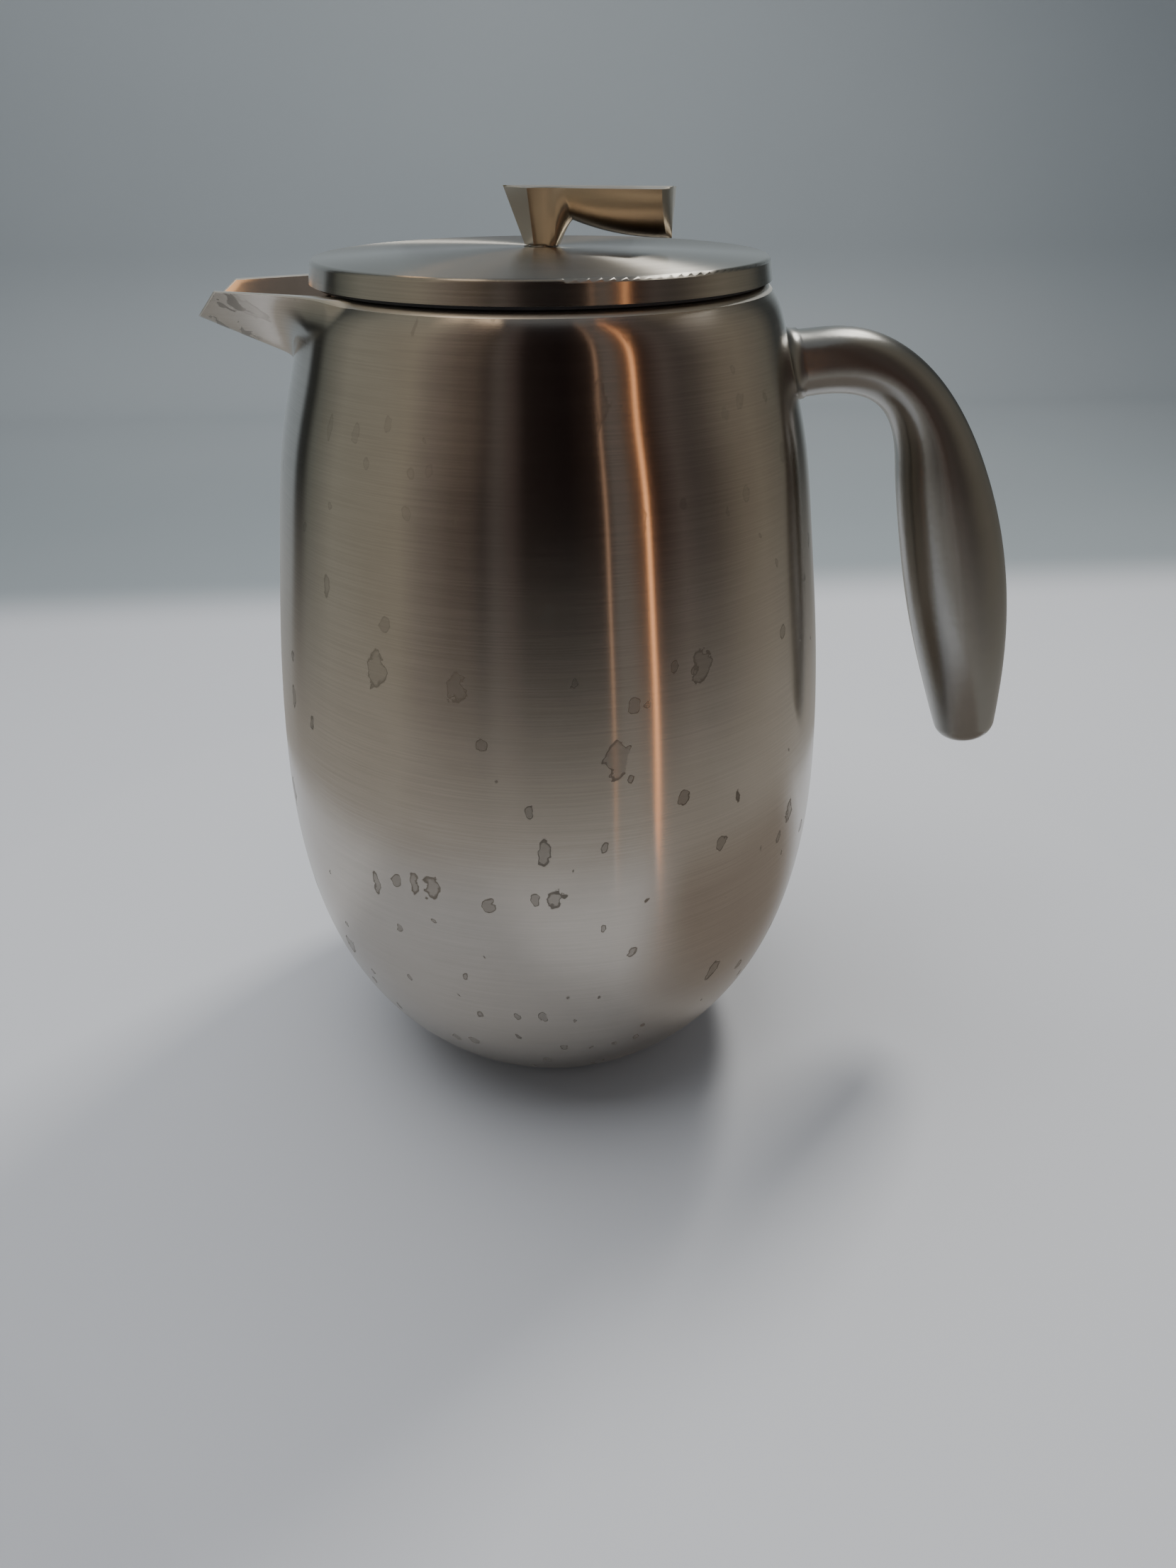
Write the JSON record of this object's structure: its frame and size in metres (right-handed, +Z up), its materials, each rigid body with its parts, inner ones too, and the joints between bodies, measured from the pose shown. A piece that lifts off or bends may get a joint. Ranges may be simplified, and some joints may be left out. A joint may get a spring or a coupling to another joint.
{
  "type": "french press",
  "caption": "Double-walled steel french press, egg shaped, with open V spout, one-root curved handle, flat lid and flag-shaped plunger knob.",
  "frame": {"origin": "on the pot's axis, at the middle of the face that it stands on", "axes": "+Z up along the pot's axis, spout towards -X, handle towards +X"},
  "size_m": [0.1822, 0.1284, 0.203],
  "materials": {
    "brushed_outer": "fine horizontal brushing, satin",
    "satin_handle": "satin, lightly brushed along its length",
    "polished_trough": "polished inside, satin outside",
    "lid_steel": "brushed in circles",
    "knob_steel": "cast and satin polished",
    "inner_steel": "drawn, satin",
    "rod_steel": "polished",
    "filter_steel": "stamped, satin",
    "mesh_steel": "fine woven mesh",
    "plug_plastic": "moulded, fine texture",
    "sleeve_plastic": "moulded, smooth",
    "seal_silicone": "matte silicone",
    "pad_silicone": "matte silicone"
  },
  "bodies": {
    "pot": {"outer_shell": "brushed_outer", "inner_liner": "inner_steel", "spout": "polished_trough", "handle_boss": "satin_handle", "handle": "satin_handle", "base_plate": "inner_steel", "base_pad": "pad_silicone"},
    "gasket": {"lid_gasket": "seal_silicone"},
    "lid": {"lid_cap": "lid_steel", "lid_insert": "plug_plastic", "lid_bush": "sleeve_plastic", "bush_washer": "filter_steel"},
    "seal": {"rod_seal": "seal_silicone"},
    "plunger": {"knob": "knob_steel", "plunger_rod": "rod_steel", "rod_collar": "rod_steel", "spiral_plate": "filter_steel", "filter_spring": "rod_steel", "mesh_filter": "mesh_steel", "cross_plate": "filter_steel", "filter_nut": "rod_steel"}
  },
  "joints": [
    {"name": "lid_lift", "type": "slide", "parent": "pot", "child": "gasket", "axis": [0, 0, 1], "range_m": [0, 0.2]},
    {"name": "lid_turn", "type": "hinge", "parent": "gasket", "child": "lid", "pos_m": [0, 0, 0.187], "axis": [0, 0, 1], "continuous": true},
    {"name": "plunger_turn", "type": "hinge", "parent": "lid", "child": "seal", "pos_m": [0, 0, 0.1793], "axis": [0, 0, 1], "continuous": true},
    {"name": "plunger_press", "type": "slide", "parent": "seal", "child": "plunger", "axis": [0, 0, 1], "range_m": [0, 0.124]}
  ]
}
